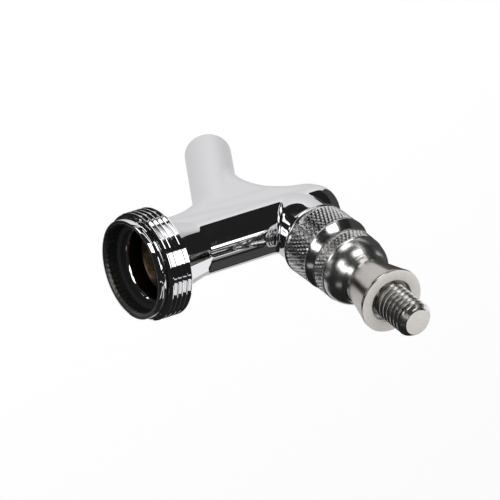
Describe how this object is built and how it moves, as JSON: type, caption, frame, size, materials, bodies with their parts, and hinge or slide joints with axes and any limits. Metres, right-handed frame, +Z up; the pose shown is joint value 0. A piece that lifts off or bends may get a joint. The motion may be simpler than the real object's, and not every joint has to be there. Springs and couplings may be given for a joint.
{
  "type": "beer faucet",
  "caption": "Chrome draught faucet with threaded inlet collar, angled spout, knurled bonnet and a ball lever with a flared collar and threaded stud.",
  "frame": {"origin": "centre of the rim of the inlet collar", "axes": "+X along the barrel from the inlet to the nose, +Z up along the bonnet, symmetric about the XZ plane"},
  "size_m": [0.0634, 0.0286, 0.1026],
  "materials": {
    "body_chrome": "polished chrome plate",
    "bonnet_chrome": "polished, knurled grip",
    "collar_chrome": "polished bell, turned cone, knurled grip",
    "lever_steel": "turned and threaded",
    "shaft_brass": "turned",
    "black_rubber": "matt",
    "white_plastic": "matt"
  },
  "bodies": {
    "body": {"faucet_body": "body_chrome", "coupling_gasket": "black_rubber", "ball_washer": "black_rubber", "friction_washer": "white_plastic", "bonnet": "bonnet_chrome"},
    "lever": {"tap_lever": "lever_steel", "lever_collar": "collar_chrome"},
    "shaft": {"valve_shaft": "shaft_brass", "seat_washer": "black_rubber", "shaft_nut": "shaft_brass"}
  },
  "joints": [
    {"name": "lever_swing", "type": "hinge", "parent": "body", "child": "lever", "pos_m": [0.0498, 0, 0.015], "axis": [0, 1, 0], "range_deg": [0, 21]},
    {"name": "shaft_travel", "type": "slide", "parent": "body", "child": "shaft", "axis": [-1, 0, 0], "range_m": [0, 0.00395]}
  ],
  "couplings": [
    {"joint": "shaft_travel", "follows": "lever_swing", "m_per_rad": 0.010662}
  ]
}
